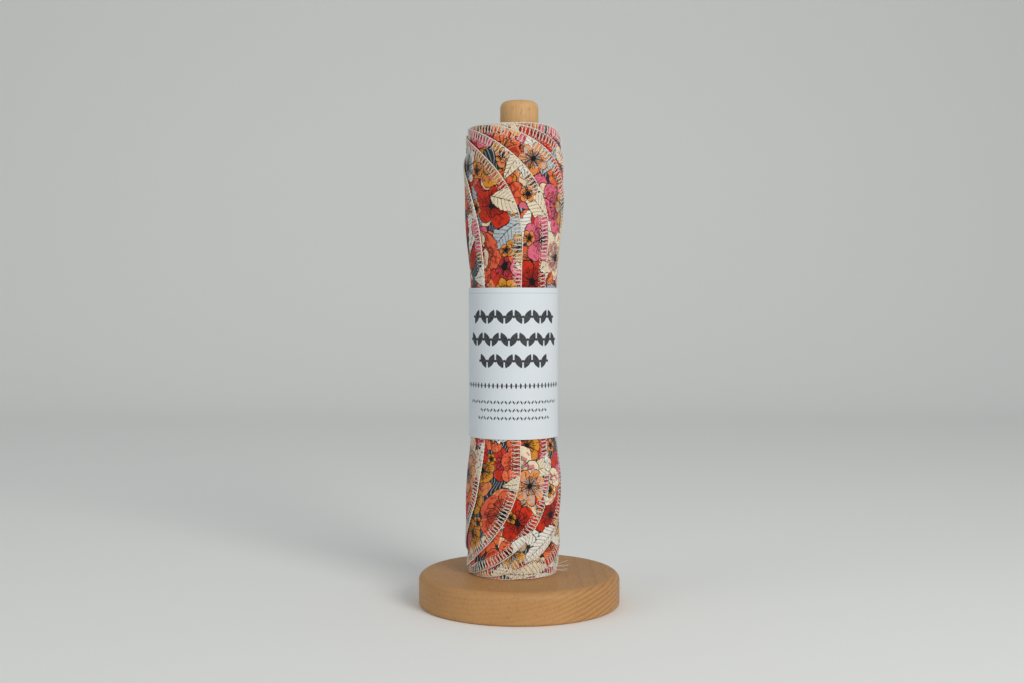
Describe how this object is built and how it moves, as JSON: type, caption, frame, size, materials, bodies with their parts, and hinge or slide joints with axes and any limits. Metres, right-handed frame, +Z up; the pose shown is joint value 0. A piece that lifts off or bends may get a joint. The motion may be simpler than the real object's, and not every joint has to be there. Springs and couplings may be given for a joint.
{
  "type": "roll of reusable cloth towels on a wooden stand",
  "caption": "Printed cloth towels with serged edges, rolled up together in a paper band and stood on the upright post of a round wooden base.",
  "frame": {"origin": "centre of the base's underside", "axes": "+Z up along the post, -Y towards the viewer of the picture, +X to the viewer's right"},
  "size_m": [0.127, 0.127, 0.3165],
  "materials": {
    "base_wood": "light beech, sanded and oiled, satin",
    "post_wood": "light beech dowel, sanded and oiled, satin",
    "screw_steel": "zinc plated",
    "printed_cloth": "brushed cotton flannel with a floral print and cream overlocked edges",
    "band_paper": "uncoated white paper"
  },
  "bodies": {
    "root": {"stand_base": "base_wood", "stand_post": "post_wood", "post_screw": "screw_steel", "towel_roll": "printed_cloth", "paper_band": "band_paper"}
  },
  "joints": []
}
